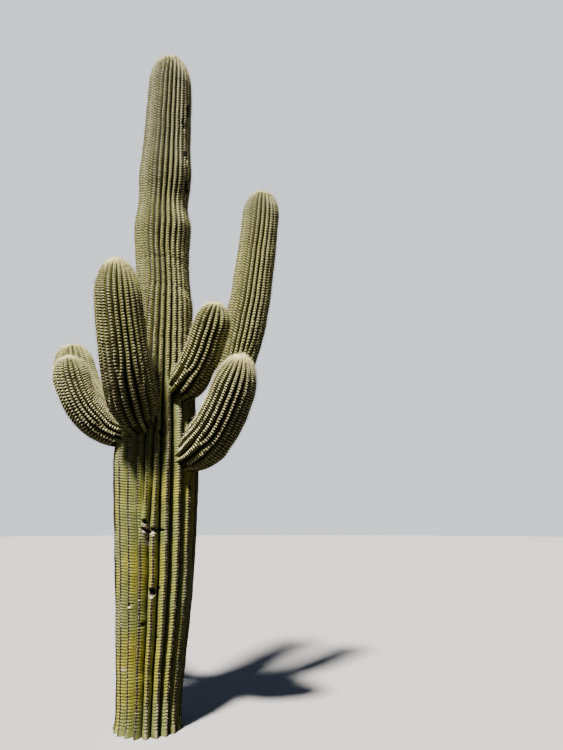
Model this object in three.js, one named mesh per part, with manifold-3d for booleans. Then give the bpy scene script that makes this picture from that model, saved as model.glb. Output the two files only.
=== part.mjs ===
// Saguaro cactus: a ribbed column rooted in the ground, with six ribbed arms that leave it at the waist and
// turn up. Millimetres, +Z up. The origin is the middle of the flat cut at ground level, +X is to the right
// and -Y is the front. A bearing is a direction seen from above, in degrees: 0 is to the right, -90 is the
// front, 180 is the left and 90 is the back.

import * as THREE from "three";
import { mergeVertices } from "three/addons/utils/BufferGeometryUtils.js";
import Module from "manifold-3d";

const wasm = await Module();
wasm.setup();

// Driving dimensions.
const SEAT_GAP = 0.3; // clear space between two pieces that grow on one another
const PLEAT = 0.42; // depth of the groove between two ribs, as a share of the rib's width
const FLANK = THREE.MathUtils.degToRad(57); // slope of the steepest rib flank
const CREST_POWER = 1.6; // of a rib's outline from crest to groove: 1 is a straight flank, 2 is rounder
const LINES_PER_RIB = 2; // lines of points along a limb: one in the groove and one on the crest
const DOME_RINGS = 4; // rings over a rounded tip
const ELBOW_RINGS = 8; // rings round the bend of an arm
const RING_SPACING = 230; // between rings up the straight of an arm
const UP = new THREE.Vector3(0, 0, 1);

// The column. Each station is a height, the radius over the rib crests there, and how far the middle has
// drifted to the right. It is narrow at the foot, thickest just under the arms, and thins above them, with
// a waist where a dry year held it back.
const COLUMN = {
  height: 6040,
  domeLength: 330, // the rounded tip, down from the apex
  stations: [
    { height: 0, radius: 262, drift: 0 },
    { height: 80, radius: 250, drift: 0 },
    { height: 300, radius: 257, drift: -3 },
    { height: 900, radius: 302, drift: -5 },
    { height: 1400, radius: 332, drift: -20 },
    { height: 1850, radius: 352, drift: -40 },
    { height: 2120, radius: 350, drift: -46 },
    { height: 2500, radius: 312, drift: -52 },
    { height: 2950, radius: 278, drift: -56 },
    { height: 3350, radius: 264, drift: -62 },
    { height: 3600, radius: 242, drift: -75 },
    { height: 3870, radius: 248, drift: -98 },
    { height: 4150, radius: 260, drift: -106 },
    { height: 4350, radius: 232, drift: -115 },
    { height: 4700, radius: 248, drift: -110 },
    { height: 4940, radius: 230, drift: -112 },
    { height: 5270, radius: 222, drift: -112 },
    { height: 5710, radius: 211, drift: -114 },
    { height: 6040, radius: 205, drift: -118 },
  ],
  ringSpacing: 280, // at most, between rings up the column
};

// Ribs stand in groups of three, and two of each three grow out of one wide rib nearer the limb's root. Each
// group forks at its own place between lowest and highest, over a length. These are along the column, and
// shares of an arm's length.
const RIBS_PER_GROUP = 3;
const FORK_SPREAD = 0.618; // keeps neighbouring groups' forks at different places
const FORK_OFFSET = 0.7; // puts the column's lowest fork on its front, at 1.3 m
const COLUMN_RIBS = { groups: 10, lowest: 1250, highest: 3100, length: 450 };
const ARM_FORKS = { lowest: 0.16, highest: 0.36, length: 0.14 };

// The arms. Each starts inside the column at join, heads for corner, and bends there up to tip. Bearings and
// reaches are from the column's middle at the join. Hold is how closely the bend keeps to the corner, from 0
// to 1. An arm is narrow at its neck, thickens over the swelling's shares of its length, and is a little
// thinner or thicker where its dome starts. Its first part, up to the split share of its length, is the elbow,
// and the rest is the upright.
const ARMS = [
  {
    name: "front_arm",
    join: { bearing: -108, reach: 140, height: 2212 },
    corner: { bearing: -105, reach: 601, height: 2300 },
    tip: { bearing: -109, reach: 753, height: 3485 },
    hold: 0.62,
    neckRadius: 100,
    radius: 206,
    topRadius: 187,
    swelling: { from: 0, to: 0.25 },
    domeLength: 356,
    split: 0.36,
    groups: 8,
  },
  {
    name: "left_front_arm",
    join: { bearing: -165, reach: 140, height: 2180 },
    corner: { bearing: -159, reach: 666, height: 2134 },
    tip: { bearing: -157, reach: 763, height: 2813 },
    hold: 0.62,
    neckRadius: 100,
    radius: 141,
    topRadius: 149,
    swelling: { from: 0, to: 0.5 },
    domeLength: 170,
    split: 0.46,
    groups: 7,
  },
  {
    name: "left_back_arm",
    join: { bearing: 152, reach: 140, height: 2320 },
    corner: { bearing: 157, reach: 880, height: 2260 },
    tip: { bearing: 160, reach: 990, height: 3110 },
    hold: 0.62,
    neckRadius: 125,
    radius: 193,
    topRadius: 186,
    swelling: { from: 0.1, to: 0.5 },
    domeLength: 220,
    split: 0.44,
    groups: 7,
  },
  {
    name: "right_front_small_arm",
    join: { bearing: -43, reach: 140, height: 2530 },
    corner: { bearing: -34, reach: 472, height: 2536 },
    tip: { bearing: -37, reach: 647, height: 3253 },
    hold: 0.62,
    neckRadius: 100,
    radius: 160,
    topRadius: 158,
    swelling: { from: 0, to: 0.25 },
    domeLength: 215,
    split: 0.44,
    groups: 6,
  },
  {
    name: "right_front_arm",
    join: { bearing: -35, reach: 140, height: 1970 },
    corner: { bearing: -24, reach: 617, height: 1947 },
    tip: { bearing: -32, reach: 865, height: 2781 },
    hold: 0.62,
    neckRadius: 100,
    radius: 196,
    topRadius: 185,
    swelling: { from: 0, to: 0.35 },
    domeLength: 327,
    split: 0.46,
    groups: 7,
  },
  {
    name: "right_back_arm",
    join: { bearing: 20, reach: 140, height: 2200 },
    corner: { bearing: 20, reach: 720, height: 2080 },
    tip: { bearing: 19, reach: 912, height: 4705 },
    hold: 0.7,
    neckRadius: 125,
    radius: 196,
    topRadius: 184,
    swelling: { from: 0.1, to: 0.5 },
    domeLength: 280,
    split: 0.25,
    groups: 8,
  },
];

const COLOURS = { column: "#7d8142", arm: "#6e7546" };
const FINISH = { roughness: 0.75, metalness: 0 };

// Goes smoothly from 0 at or below low to 1 at or above high.
function ramp(value, low, high) {
  return THREE.MathUtils.smoothstep(value, low, high);
}

// The column's radius or drift at a height, by a smooth curve through the stations.
function stationValue(height, key) {
  const rows = COLUMN.stations;
  const next = Math.max(1, rows.findIndex((row) => row.height >= height));
  const [a, b] = [rows[next - 1], rows[next]];
  const before = rows[Math.max(0, next - 2)];
  const after = rows[Math.min(rows.length - 1, next + 1)];
  const span = b.height - a.height;
  const share = (height - a.height) / span;
  const slopeA = ((b[key] - before[key]) / (b.height - before.height)) * span;
  const slopeB = ((after[key] - a[key]) / (after.height - a.height)) * span;
  const [t2, t3] = [share ** 2, share ** 3];
  return (
    (2 * t3 - 3 * t2 + 1) * a[key] +
    (t3 - 2 * t2 + share) * slopeA +
    (3 * t2 - 2 * t3) * b[key] +
    (t3 - t2) * slopeB
  );
}

// How much of the full radius is left at a distance before the tip: a rounded dome.
function dome(beforeTip, length) {
  if (beforeTip >= length) return 1;
  return Math.sqrt(Math.max(0, 1 - (1 - beforeTip / length) ** 2));
}

// Height of a rib's surface over its grooves, from 0 to 1, where across is -1 and 1 in the grooves and 0 on
// the crest.
function arch(across) {
  return 1 - Math.abs(across) ** CREST_POWER;
}

// Angle and relief of line number `line` at a place along a limb. Below its fork a pair of ribs is one.
function forkedRib({ groups, lowest, highest, length }, line, stop) {
  const linesPerGroup = RIBS_PER_GROUP * LINES_PER_RIB;
  const group = Math.floor(line / linesPerGroup);
  const rib = (line % linesPerGroup) / LINES_PER_RIB; // 0 to 3, with the pair below 2
  const start = THREE.MathUtils.lerp(lowest, highest, (group * FORK_SPREAD + FORK_OFFSET) % 1);
  const open = ramp(stop, start, start + length);
  const closedPlace = (rib + Math.max(0, rib - 2)) / 4;
  const place = THREE.MathUtils.lerp(closedPlace, rib / RIBS_PER_GROUP, open);
  const closedRelief = arch(rib < 2 ? rib - 1 : 2 * (rib - 2) - 1);
  const openRelief = arch(2 * (rib % 1) - 1);
  return {
    angle: ((group + place) * 2 * Math.PI) / groups,
    relief: THREE.MathUtils.lerp(closedRelief, openRelief, open),
    count: groups * THREE.MathUtils.lerp(2, RIBS_PER_GROUP, open),
  };
}

// A closed ribbed limb. A lathed stack of rings is bent along the limb's axis, and each ring's points are set
// to the ribs' angles and pressed in at the grooves. stops are the rings' places along the axis, and end is
// where the surface closes on it: the last stop itself for a flat end, or past it for a tip.
function limbGeometry({ axis, across, stops, end, ribs, radiusAt, swell = 0 }) {
  const lines = ribs.groups * RIBS_PER_GROUP * LINES_PER_RIB;
  const outline = stops.map((_, ring) => new THREE.Vector2(1, ring));
  const profile = [new THREE.Vector2(0, 0), ...outline, new THREE.Vector2(0, stops.length)];
  const geometry = new THREE.LatheGeometry(profile, lines);
  const position = geometry.attributes.position;
  const point = new THREE.Vector3();
  for (let i = 0; i < position.count; i++) {
    point.fromBufferAttribute(position, i);
    const stop = stops[Math.round(point.y)] ?? end;
    const reach = Math.round(Math.hypot(point.x, point.z)); // 0 on the axis and 1 on the surface
    const turn = Math.atan2(point.x, point.z) / (2 * Math.PI);
    const rib = forkedRib(ribs, Math.round((turn + 1) * lines) % lines, stop);
    const crest = radiusAt(stop);
    const depth = (PLEAT * 2 * Math.PI * crest) / rib.count;
    const radius = reach * (crest - depth * (1 - rib.relief) + swell);
    const along = axis.tangentAt(stop);
    const side = across.clone().addScaledVector(along, -across.dot(along)).normalize();
    const out = new THREE.Vector3().crossVectors(along, side);
    point
      .copy(axis.pointAt(stop))
      .addScaledVector(side, radius * Math.cos(rib.angle))
      .addScaledVector(out, radius * Math.sin(rib.angle));
    position.setXYZ(i, point.x, point.y, point.z);
  }
  return closed(geometry);
}

// The geometry with its shared points merged, so that it is one closed surface.
function closed(geometry) {
  geometry.deleteAttribute("normal");
  geometry.deleteAttribute("uv");
  return mergeVertices(geometry, 1e-3);
}

function toSolid(geometry) {
  return new wasm.Manifold(
    new wasm.Mesh({
      numProp: 3,
      vertProperties: new Float32Array(geometry.attributes.position.array),
      triVerts: new Uint32Array(geometry.index.array),
    }),
  );
}

function toGeometry(solid) {
  const mesh = solid.getMesh();
  const geometry = new THREE.BufferGeometry();
  geometry.setAttribute("position", new THREE.BufferAttribute(mesh.vertProperties, 3));
  geometry.setIndex(new THREE.BufferAttribute(mesh.triVerts, 1));
  return geometry;
}

// The largest body of geometry once the cutter is taken away. Slivers between the ribs are dropped.
function trimmed(geometry, cutter) {
  const bodies = toSolid(geometry).subtract(cutter).decompose();
  bodies.sort((a, b) => b.volume() - a.volume());
  return toGeometry(bodies[0]);
}

// Places for rings along a limb's body.
function evenStops(from, to, count) {
  return Array.from({ length: count + 1 }, (_, i) => THREE.MathUtils.lerp(from, to, i / count));
}

// Places for rings over a limb's dome, closing up towards its tip.
function domeStops(tip, length) {
  const turns = evenStops(0, Math.PI / 2, DOME_RINGS + 1).slice(1, -1);
  return turns.map((turn) => tip - length * (1 - Math.sin(turn)));
}

// Places for rings up the column: on every station under the dome, and between them where they are far apart.
function columnStops() {
  const { height, domeLength, ringSpacing, stations } = COLUMN;
  const domeStart = height - domeLength;
  const marks = [...stations.map((row) => row.height).filter((mark) => mark < domeStart), domeStart];
  const body = marks.slice(1).flatMap((mark, i) => {
    return evenStops(marks[i], mark, Math.ceil((mark - marks[i]) / ringSpacing)).slice(1);
  });
  return [0, ...body, ...domeStops(height, domeLength)];
}

// The column, thickened by swell.
function columnGeometry(swell) {
  const { height, domeLength } = COLUMN;
  const axis = {
    pointAt: (z) => new THREE.Vector3(stationValue(z, "drift"), 0, z),
    tangentAt: () => new THREE.Vector3(0, 0, 1),
  };
  return limbGeometry({
    axis,
    across: new THREE.Vector3(1, 0, 0),
    stops: columnStops(),
    end: height,
    ribs: COLUMN_RIBS,
    radiusAt: (z) => stationValue(z, "radius") * dome(height - z, domeLength),
    swell,
  });
}

// The point at a bearing, a reach and a height, seen from a middle.
function place(middle, { bearing, reach, height }) {
  const angle = THREE.MathUtils.degToRad(bearing);
  return new THREE.Vector3(middle + reach * Math.cos(angle), reach * Math.sin(angle), height);
}

// An arm's middle line: out of the column, round the corner and up to the tip.
function armCurve({ join, corner, tip, hold }) {
  const middle = stationValue(join.height, "drift");
  const [from, by, to] = [join, corner, tip].map((spot) => place(middle, spot));
  return new THREE.CubicBezierCurve3(from, from.clone().lerp(by, hold), to.clone().lerp(by, hold), to);
}

// An arm's two pieces: the elbow, trimmed to the column, and the upright, which stands on the elbow's end.
function armGeometries(arm, cutter) {
  const curve = armCurve(arm);
  const length = curve.getLength();
  const domeStart = length - arm.domeLength;
  const cut = arm.split * length;
  const [thickenFrom, thickest] = [arm.swelling.from * length, arm.swelling.to * length];
  const radiusAt = (s) => {
    const swelling = THREE.MathUtils.lerp(arm.neckRadius, arm.radius, ramp(s, thickenFrom, thickest));
    const thinning = THREE.MathUtils.lerp(0, arm.radius - arm.topRadius, ramp(s, thickest, domeStart));
    return (swelling - thinning) * dome(length - s, arm.domeLength);
  };
  const shared = {
    axis: {
      pointAt: (s) => curve.getPointAt(s / length),
      tangentAt: (s) => curve.getTangentAt(s / length),
    },
    across: new THREE.Vector3().crossVectors(curve.getTangentAt(0), UP).normalize(),
    ribs: {
      groups: arm.groups,
      lowest: ARM_FORKS.lowest * length,
      highest: ARM_FORKS.highest * length,
      length: ARM_FORKS.length * length,
    },
    radiusAt,
  };
  const bodyRings = Math.ceil((domeStart - cut) / RING_SPACING);
  const elbow = limbGeometry({ ...shared, stops: evenStops(0, cut, ELBOW_RINGS), end: cut });
  const upright = limbGeometry({
    ...shared,
    stops: [...evenStops(cut, domeStart, bodyRings), ...domeStops(length, arm.domeLength)],
    end: length,
  });
  upright.translate(...shared.axis.tangentAt(cut).multiplyScalar(SEAT_GAP));
  return { elbow: trimmed(elbow, cutter), upright };
}

function piece(name, geometry, colour) {
  const material = new THREE.MeshStandardMaterial({ color: colour, flatShading: true, ...FINISH });
  const mesh = new THREE.Mesh(geometry, material);
  mesh.name = name;
  return mesh;
}

function saguaro() {
  const cactus = new THREE.Group();
  cactus.add(piece("column", columnGeometry(0), COLOURS.column));
  const cutter = toSolid(columnGeometry(SEAT_GAP / Math.cos(FLANK)));
  for (const arm of ARMS) {
    const { elbow, upright } = armGeometries(arm, cutter);
    cactus.add(piece(`${arm.name}_elbow`, elbow, COLOURS.arm));
    cactus.add(piece(`${arm.name}_upright`, upright, COLOURS.arm));
  }
  return cactus;
}

export default saguaro();
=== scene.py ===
"""Saguaro cactus: a ribbed column with six ribbed arms, grown round its CAD frame.

Metres, +Z up. The origin is the middle of the flat cut at ground level, +X is to the right and -Y is the
front. A bearing is a direction seen from above, in degrees: 0 is to the right and -90 is the front. Each limb
is an axis, a line of points that carry its radius and its frame. Node trees turn the axis into ribbed skin,
into the felt cushions along its ribs, and into the spines that grow from them.
"""

import math

import bpy
import numpy as np
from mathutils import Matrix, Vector


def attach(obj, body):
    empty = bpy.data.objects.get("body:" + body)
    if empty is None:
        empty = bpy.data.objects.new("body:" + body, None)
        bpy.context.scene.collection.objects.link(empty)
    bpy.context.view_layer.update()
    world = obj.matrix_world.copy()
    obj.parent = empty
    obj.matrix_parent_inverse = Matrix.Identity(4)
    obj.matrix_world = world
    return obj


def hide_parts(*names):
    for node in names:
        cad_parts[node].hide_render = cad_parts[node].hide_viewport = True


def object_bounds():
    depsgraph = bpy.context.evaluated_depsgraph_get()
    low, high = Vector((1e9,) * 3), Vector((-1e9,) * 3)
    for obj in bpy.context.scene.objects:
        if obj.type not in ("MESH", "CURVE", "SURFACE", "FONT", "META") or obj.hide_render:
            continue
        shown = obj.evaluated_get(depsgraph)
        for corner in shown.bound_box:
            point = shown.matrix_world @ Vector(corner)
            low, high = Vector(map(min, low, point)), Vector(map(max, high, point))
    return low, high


bl_info = {
    "name": "Saguaro cactus",
    "version": (1, 0, 0),
    "blender": (4, 5, 0),
    "location": "View3D > Sidebar > Saguaro",
    "description": "Grows a saguaro cactus with its ribs, spines and scars",
    "category": "Add Mesh",
}

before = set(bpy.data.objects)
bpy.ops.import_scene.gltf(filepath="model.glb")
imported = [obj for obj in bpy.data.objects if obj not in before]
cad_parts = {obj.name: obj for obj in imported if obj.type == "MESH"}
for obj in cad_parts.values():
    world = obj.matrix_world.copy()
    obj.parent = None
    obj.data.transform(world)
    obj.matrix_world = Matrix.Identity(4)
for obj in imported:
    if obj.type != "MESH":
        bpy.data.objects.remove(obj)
cad_low, cad_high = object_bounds()

SEED = 7
LIMB_SEEDS = 100  # the step between two limbs' seeds, which is more than any draw's own step
DRAW_SEEDS = {"jitter": 1.0, "spines": 10.0, "spine tone": 20.0, "felt tone": 30.0}

# The column. Each station is a height, the radius over the spines there, and how far the middle has drifted
# to the right.
COLUMN_HEIGHT = 6.04
COLUMN_DOME = 0.33
COLUMN_SECTIONS = 3  # its spines and cushions of one colour are so many pieces, to keep each small
COLUMN_STATIONS = (
    (0.0, 0.262, 0.0),
    (0.08, 0.250, 0.0),
    (0.3, 0.257, -0.003),
    (0.9, 0.302, -0.005),
    (1.4, 0.332, -0.020),
    (1.85, 0.352, -0.040),
    (2.12, 0.350, -0.046),
    (2.5, 0.312, -0.052),
    (2.95, 0.278, -0.056),
    (3.35, 0.264, -0.062),
    (3.6, 0.242, -0.075),
    (3.87, 0.248, -0.098),
    (4.15, 0.260, -0.106),
    (4.35, 0.232, -0.115),
    (4.7, 0.248, -0.110),
    (4.94, 0.230, -0.112),
    (5.27, 0.222, -0.112),
    (5.71, 0.211, -0.114),
    (6.04, 0.205, -0.118),
)

# The arms. Each starts inside the column at join, heads for corner, and bends there up to tip: a bearing, a
# reach from the column's middle, and a height. Hold is how closely the bend keeps to the corner, and the arm
# thickens from its neck between the swelling's shares of its length. Its skin is the pale green of the column
# or a deeper green, fresh is the share of its spines that are still pale, and rows is the step between its
# cushions. The far arms' rows are drawn wider than life, where they would be too fine to show.
ARMS = {
    "front_arm": {
        "join": (-108, 0.14, 2.212), "corner": (-105, 0.601, 2.30), "tip": (-109, 0.753, 3.485),
        "hold": 0.62, "neck": 0.10, "radius": 0.206, "top": 0.187, "swelling": (0, 0.25),
        "dome": 0.356, "groups": 8, "skin": "deep", "fresh": 0.22, "rows": 0.0215,
    },
    "left_front_arm": {
        "join": (-165, 0.14, 2.18), "corner": (-159, 0.666, 2.134), "tip": (-157, 0.763, 2.813),
        "hold": 0.62, "neck": 0.10, "radius": 0.141, "top": 0.149, "swelling": (0, 0.5),
        "dome": 0.17, "groups": 7, "skin": "pale", "fresh": 0.75, "rows": 0.0225,
    },
    "left_back_arm": {
        "join": (152, 0.14, 2.32), "corner": (157, 0.88, 2.26), "tip": (160, 0.99, 3.11),
        "hold": 0.62, "neck": 0.125, "radius": 0.193, "top": 0.186, "swelling": (0.1, 0.5),
        "dome": 0.22, "groups": 7, "skin": "pale", "fresh": 0.65, "rows": 0.025,
    },
    "right_front_small_arm": {
        "join": (-43, 0.14, 2.53), "corner": (-34, 0.472, 2.536), "tip": (-37, 0.647, 3.253),
        "hold": 0.62, "neck": 0.10, "radius": 0.16, "top": 0.158, "swelling": (0, 0.25),
        "dome": 0.215, "groups": 6, "skin": "deep", "fresh": 0.25, "rows": 0.0215,
    },
    "right_front_arm": {
        "join": (-35, 0.14, 1.97), "corner": (-24, 0.617, 1.947), "tip": (-32, 0.865, 2.781),
        "hold": 0.62, "neck": 0.10, "radius": 0.196, "top": 0.185, "swelling": (0, 0.35),
        "dome": 0.327, "groups": 7, "skin": "deep", "fresh": 0.3, "rows": 0.0205,
    },
    "right_back_arm": {
        "join": (20, 0.14, 2.20), "corner": (20, 0.72, 2.08), "tip": (19, 0.912, 4.705),
        "hold": 0.7, "neck": 0.125, "radius": 0.196, "top": 0.184, "swelling": (0.1, 0.5),
        "dome": 0.28, "groups": 8, "skin": "pale", "fresh": 0.4, "rows": 0.0272,
    },
}

# Ribs stand in groups of three, and two of each three grow out of one wide rib nearer the limb's root. Each
# group forks at its own place between low and high, over a length: along the column, and as shares of an arm.
RIBS_PER_GROUP = 3
FORK_SPREAD = 0.618
FORK_OFFSET = 0.7
COLUMN_GROUPS = 10
COLUMN_FORKS = (1.25, 3.10, 0.45)
ARM_FORKS = (0.16, 0.36, 0.14)

# How many points the middle lines of the column and of an arm have.
COLUMN_POINTS = 605
ARM_POINTS = 400
SLOPE_REACH = 0.003  # how far to each side of a place its slope is measured
ARM_CROWN = 0.6  # the share of an arm's dome where its spines are fresh and strong

# The skin. Sway and swell are noise, over about 320 mm and 170 mm, and their scales are in lumps to a metre.
SWAY_SCALE = 3.1
SWAY_GIRTH = 0.05  # where a limb's radius is under this, its ribs turn no further for the same sway
SWELL_SCALE = 6.0
SWELL_REACH = 0.2  # how far out from the middle line the swell's noise is read
SWELL_GIRTH = 0.1  # the radius under which the swell dies away
PROFILE = 0.1  # radius of the circle that is drawn along the axis, before its points go to their own places
SEAM = 0.0003  # points nearer than this are one
BURIED_NECK = 0.10  # how far an arm's skin goes into the column
DOME_RINGS = 1.5  # rings over a dome for each ring spacing of its height
WOUND_RINGS = (0.84, 1.54)  # heights on the column between which the rings are closer
WOUND_STEP = 0.68  # how far apart the rings are there, as a share of the ring spacing
COLUMN_STEP = 1.03  # and elsewhere on the column

# The rows of cushions.
FIRST_ROW = 0.045  # height of the lowest spines, clear of the cut
LAST_ROW = 0.0002  # how near a tip, in metres along the limb, its last cushions come
DOME_ROWS = 0.25  # the share by which the rows stand closer at the top of a dome
WIDER_ROWS = (2.8, 5.6)  # heights between which the column's rows spread out
ROW_JITTER = 0.06  # how far a cushion strays from its row, as a share of the spacing
PARTING = (0.05, 0.6)  # between these shares of a fork's opening, its two ribs' rows part
SHUT = 0.06  # below this share they are one row
FEWEST_DARK = 0.02  # where the lowest row has a smaller share of old spines or felt, its section has none

# The cushions are low cones, and the spines thin ones, which tilt away from the outward direction. Each draw
# has a name, its least and its most: turn and tilt are angles, stretch is a share of the length, and a spine
# whose thin is more than its place's vigour is left out.
CUSHION_SINK = 0.0015  # how deep a cushion's foot is in the skin
CUSHION_SHAPE = (1.05, 0.4, 0.5)  # stretched across the rib, and narrow along it
CENTRALS = 2  # spines on each cushion that stand out, and the others lie along the skin
CENTRAL_TILT = 0.55
RADIAL_TILT = 1.2
SPINE_DRAWS = (("turn", -0.4, 0.4), ("tilt", -0.2, 0.2), ("stretch", 0.8, 1.15), ("thin", 0.0, 1.0))

# The skin's noises: patches 400 mm across, mottle of 33 mm and a fine grain of 5 mm. Each has its lumps to a
# metre and its octaves.
SKIN_NOISES = ((2.4, 4.0), (30.0, 3.0), (190.0, 2.0))

# Dry years, that left a narrow pinch round the column, where its grooves are painted dark as the pinch's
# shade: a height, a depth and a width.
DRY_YEARS = ((3.495, 0.009, 0.014), (3.758, 0.010, 0.014))

# A wound is whole inside the first share of its radius and ends at the second. Each waver of its edge is a
# share of the radius, and an angle for each degree round the column and for each metre up it. Points along
# the wound, at some depth under the outline, mark where no spines grow: the wound and a margin round it.
WOUND_EDGE = (0.75, 1.15)
WAVERS = ((0.12, 1.9, 150), (0.07, -0.8, 420))
BARE_MARGIN = 0.004
BARE_DEPTH = 0.012
BARE_POINTS = 8
NOWHERE = ((0.0, 0.0, -9.0), 0.01)  # the place and size of a mark that no limb comes near

# Old wounds on the column. A hole is open and pressed in, and its inside is dark brown tissue painted
# near-black as its shade; scar tissue is grey and rough, and a callus is smooth, pale and raised. Each runs
# from one bearing and height to another, and has a radius and a depth.
WOUNDS = (
    ("scar", (-91, 1.478), (-91.5, 1.450), 0.030, 0.004),
    ("scar", (-93, 1.420), (-90.5, 1.345), 0.026, 0.004),
    ("callus", (-92, 1.457), (-91, 1.455), 0.008, 0.002),
    ("callus", (-84.5, 1.408), (-81, 1.401), 0.013, 0.004),
    ("callus", (-95, 1.424), (-93, 1.418), 0.007, 0.002),
    ("hole", (-94.5, 1.497), (-93.5, 1.493), 0.017, 0.030),
    ("hole", (-97, 1.444), (-87.6, 1.414), 0.010, 0.020),
    ("hole", (-87.6, 1.414), (-82.7, 1.441), 0.009, 0.020),
    ("hole", (-82.7, 1.441), (-76.5, 1.424), 0.010, 0.020),
    ("hole", (-73.2, 1.438), (-67, 1.430), 0.010, 0.020),
    ("hole", (-92.5, 1.396), (-92.5, 1.394), 0.007, 0.006),
    ("hole", (-90.3, 1.368), (-90.3, 1.364), 0.008, 0.006),
    ("scar", (-80.8, 0.990), (-80.8, 0.984), 0.034, 0.000),
    ("hole", (-80.8, 0.990), (-80.8, 0.986), 0.026, 0.030),
    ("callus", (-83.5, 0.951), (-81, 0.949), 0.008, 0.004),
    ("hole", (-118, 0.897), (-117.4, 0.893), 0.011, 0.018),
    ("callus", (-118.4, 0.870), (-115.2, 0.880), 0.007, 0.004),
    ("callus", (-99.7, 0.929), (-99.5, 0.928), 0.008, 0.002),
    ("hole", (-94.6, 0.762), (-93.4, 0.758), 0.012, 0.010),
    ("hole", (-70.4, 1.013), (-70.2, 1.011), 0.010, 0.010),
    ("hole", (-70.3, 0.669), (-70.1, 0.667), 0.010, 0.010),
    ("callus", (-131.8, 0.440), (-131.4, 0.438), 0.010, 0.002),
    ("hole", (-73.5, 2.190), (-73.5, 2.172), 0.016, 0.010),
    ("hole", (-115.5, 5.67), (-113.5, 5.655), 0.009, 0.006),
    ("hole", (-106, 5.735), (-103, 5.73), 0.007, 0.006),
    # The last four are shallow dents along the column's right edge, whose dark is the painted shade of a
    # hole.
    ("hole", (-19, 5.42), (-22, 5.33), 0.022, 0.006),
    ("hole", (-40, 5.19), (-34, 5.16), 0.018, 0.005),
    ("hole", (-34, 4.87), (-24, 4.83), 0.020, 0.006),
    ("hole", (-16, 4.57), (-12, 4.50), 0.026, 0.006),
)


# The stage: metres, but the picture's height is in millimetres, as the lens is.
FLOOR_RADIUS = 60
KEY_DISTANCE = 9
KEY_COLOUR = (1.0, 0.96, 0.88)
PICTURE_HEIGHT = 36

# The commonest kinds of node.
MATH = "ShaderNodeMath"
VECTOR_MATH = "ShaderNodeVectorMath"
MAP_RANGE = "ShaderNodeMapRange"
NOISE = "ShaderNodeTexNoise"

# Attributes on meshes: what the trees read on loose points and on a limb's axis, what they store for their
# own use, and what the skin's material still needs on a finished piece. All but the vectors are numbers.
VECTOR = "FLOAT_VECTOR"
VECTOR_ATTRIBUTES = ("centre", "side", "out", "place", "normal", "rise", "reach")
MARK_ATTRIBUTES = ("place", "size")
LIMB_ATTRIBUTES = ("centre", "side", "out", "crest", "along", "slope", "number", "spacing")
LIMB_RULES = ("age", "dry", "pale", "dark", "pale_felt", "dark_felt", "vigour")
WORK_ATTRIBUTES = ("around", "line", "dropped", "normal", "rise", "tone", "reach", "bare")
SHOWN_ATTRIBUTES = ("relief", "row", "age", "dry")

# The inputs that the trees pass on to one another.
FORK_INPUTS = ("Fork low", "Fork high", "Fork length")
PATTERN_INPUTS = {"Groups": "Int", **dict.fromkeys((*FORK_INPUTS, "Roundness"), "Float")}
SURFACE_INPUTS = {**PATTERN_INPUTS, **dict.fromkeys(("Pleat", "Sway", "Swell"), "Float")}
AREOLE_INPUTS = {"Axis": "Geometry", **SURFACE_INPUTS, "Bare": "Object", "Seed": "Int"}


def srgb(code):
    """Turns an sRGB hex colour into Blender's linear one."""
    values = [int(code[i : i + 2], 16) / 255 for i in (1, 3, 5)]
    return [v / 12.92 if v <= 0.04045 else ((v + 0.055) / 1.055) ** 2.4 for v in values]


def size(name, description, default):
    """A length that a user can change."""
    return bpy.props.FloatProperty(name=name, description=description, default=default, unit="LENGTH")


def colour(name, description, code):
    """A colour that a user can change."""
    return bpy.props.FloatVectorProperty(
        name=name, description=description, subtype="COLOR", default=srgb(code), min=0, max=1
    )


def degrees(name, description, default):
    """An angle that a user can change."""
    return bpy.props.FloatProperty(
        name=name, description=description, subtype="ANGLE", default=math.radians(default)
    )


class SaguaroSkin(bpy.types.PropertyGroup):
    """Sizes and colours of the ribbed skin."""

    pleat: bpy.props.FloatProperty(
        name="Pleat", description="Groove depth as a share of the rib's width", default=0.8, min=0.1, max=1
    )
    lines: bpy.props.IntProperty(
        name="Lines", description="Lines of points over one narrow rib", default=6, min=2, max=16
    )
    inset: size("Inset", "How far the skin lies under the spines' outline", 0.005)
    headroom: size("Headroom", "How far the skin ends under a limb's tip", 0.006)
    ring: size("Ring spacing", "Between two rings of the skin's mesh", 0.0120)
    sway: size("Sway", "How far a rib strays to its sides", 0.008)
    swell: size("Swell", "Unevenness of the skin's girth", 0.005)
    pale_green: colour("Pale green", "The skin of the column and of the paler arms", "#8f8c45")
    pale_shade: colour("Pale green's shade", "Patches on it", "#717950")
    # Painted shade: the creases below each row of cushions are coloured dark as their shade and the spines'
    # shadows.
    pale_crease_shade: colour("Pale green's creases", "Between its cushions", "#2c2a14")
    deep_green: colour("Deep green", "The skin of the other arms", "#9a994e")
    deep_shade: colour("Deep green's shade", "Patches on it", "#6e7142")
    # Painted shade: the creases below each row of cushions are coloured dark as their shade and the spines'
    # shadows.
    deep_crease_shade: colour("Deep green's creases", "Between its cushions", "#2e2b16")
    bloom: colour("Bloom", "Grey wax on the young skin", "#abab88")
    flush: colour("Flush", "Yellow-green skin above the lowest arms", "#b2b256")
    # Painted shade: near-black that stands for the shade deep between two ribs and in the pinches of the
    # drought years.
    groove_shade: colour("Groove", "Skin deep between two ribs", "#1c1f0c")
    tinge: colour("Tinge", "Sunburnt skin", "#b08a3c")
    cork: colour("Cork", "Dry tissue along the old crests", "#3a3029")
    pale_cork: colour("Pale cork", "Cork that the sun has bleached", "#9c9280")
    scar: colour("Scar", "Rough tissue round a wound", "#85826c")
    callus: colour("Callus", "Smooth healed rim of a wound", "#b7a99b")
    # Painted shade: dark brown wound tissue painted near-black as the shade inside a hole.
    hole: colour("Hole", "Inside of a wound", "#120d09")


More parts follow.
